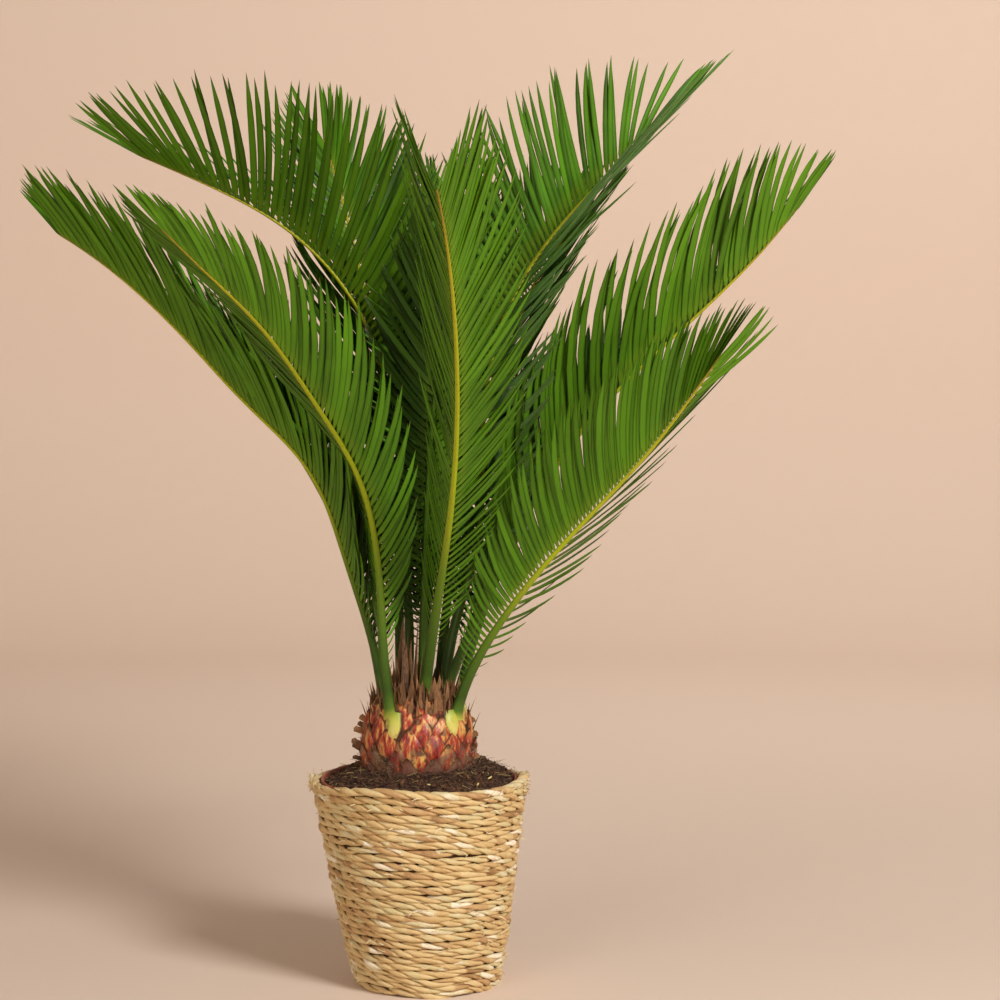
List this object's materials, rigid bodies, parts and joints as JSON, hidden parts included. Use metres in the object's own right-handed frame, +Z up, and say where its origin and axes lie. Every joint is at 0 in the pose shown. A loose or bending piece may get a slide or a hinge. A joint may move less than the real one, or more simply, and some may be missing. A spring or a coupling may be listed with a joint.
{
  "type": "potted sago palm",
  "caption": "Sago palm with a swollen scaly stem and arching feather fronds, in a plastic plant pot that stands in a tapered basket of twisted rope.",
  "frame": {"origin": "middle of the flat underside of the basket", "axes": "+Z up, the side that the picture shows faces -Y, and +X is to the picture's right"},
  "size_m": [0.7601, 0.7478, 0.8892],
  "materials": {
    "seagrass_rope": "dry twisted grass rope",
    "terracotta_plastic": "matt, dusty",
    "peat": "rough, crumbly",
    "leaf_base_scales": "fibrous, overlapping scales",
    "dry_sheaths": "papery",
    "frond_green": "leathery, slightly glossy"
  },
  "bodies": {
    "root": {"basket": "seagrass_rope", "plant_pot": "terracotta_plastic", "soil": "peat", "stem": "leaf_base_scales", "bud_sheaths": "dry_sheaths", "frond_left": "frond_green", "frond_left_high": "frond_green", "frond_front_left": "frond_green", "frond_front": "frond_green", "frond_front_right": "frond_green", "frond_right": "frond_green", "frond_right_high": "frond_green", "frond_back_left": "frond_green", "frond_back": "frond_green", "frond_back_right": "frond_green", "frond_right_low": "frond_green", "frond_inner": "frond_green", "frond_left_low": "frond_green"}
  },
  "joints": []
}
